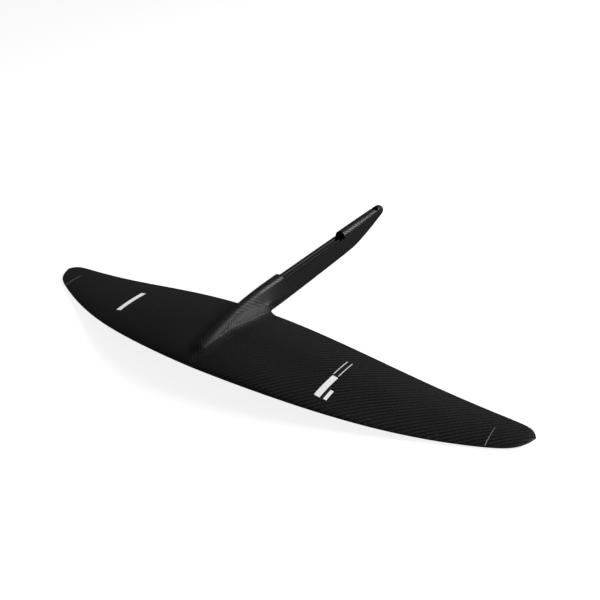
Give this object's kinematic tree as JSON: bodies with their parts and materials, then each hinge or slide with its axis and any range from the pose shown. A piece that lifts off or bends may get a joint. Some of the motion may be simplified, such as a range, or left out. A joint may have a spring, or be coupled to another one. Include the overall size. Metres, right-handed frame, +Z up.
{
  "type": "hydrofoil front wing",
  "caption": "Moulded carbon hydrofoil front wing with a fuselage stub, a slotted mast seat on top and a tail sleeve with a screw hole.",
  "frame": {"origin": "middle of the flat floor of the mast slot", "axes": "+X along the span towards the right tip, +Y aft along the stub, +Z up out of the mast slot"},
  "size_m": [0.9116, 0.525, 0.0777],
  "materials": {
    "wing_carbon": "satin clear coat over fine carbon twill",
    "stub_carbon": "satin clear coat over ribbed carbon twill",
    "spar_carbon": "raw unidirectional carbon",
    "foam_core": "closed-cell foam",
    "resin_filler": "fibre-filled resin",
    "seat_laminate": "machined solid carbon laminate",
    "slot_liner": "thin laminate with polished lips",
    "bush_steel": "turned stainless steel"
  },
  "bodies": {
    "root": {"upper_skin": "wing_carbon", "lower_skin": "wing_carbon", "fairing_shell": "stub_carbon", "seat_wall_left": "stub_carbon", "seat_wall_right": "stub_carbon", "tail_sleeve": "stub_carbon", "tail_cap": "stub_carbon", "fuselage_lower_shell": "stub_carbon", "main_spar": "spar_carbon", "front_core_left": "foam_core", "front_core_right": "foam_core", "rear_core_left": "foam_core", "rear_core_right": "foam_core", "fairing_core": "foam_core", "leading_edge_bead_left": "resin_filler", "leading_edge_bead_right": "resin_filler", "trailing_edge_filler_left": "resin_filler", "trailing_edge_filler_right": "resin_filler", "tip_block_left": "resin_filler", "tip_block_right": "resin_filler", "mast_seat_block": "seat_laminate", "front_stop": "seat_laminate", "tail_socket_floor": "seat_laminate", "tail_block": "seat_laminate", "slot_liner": "slot_liner", "tail_bush": "bush_steel"}
  },
  "joints": []
}
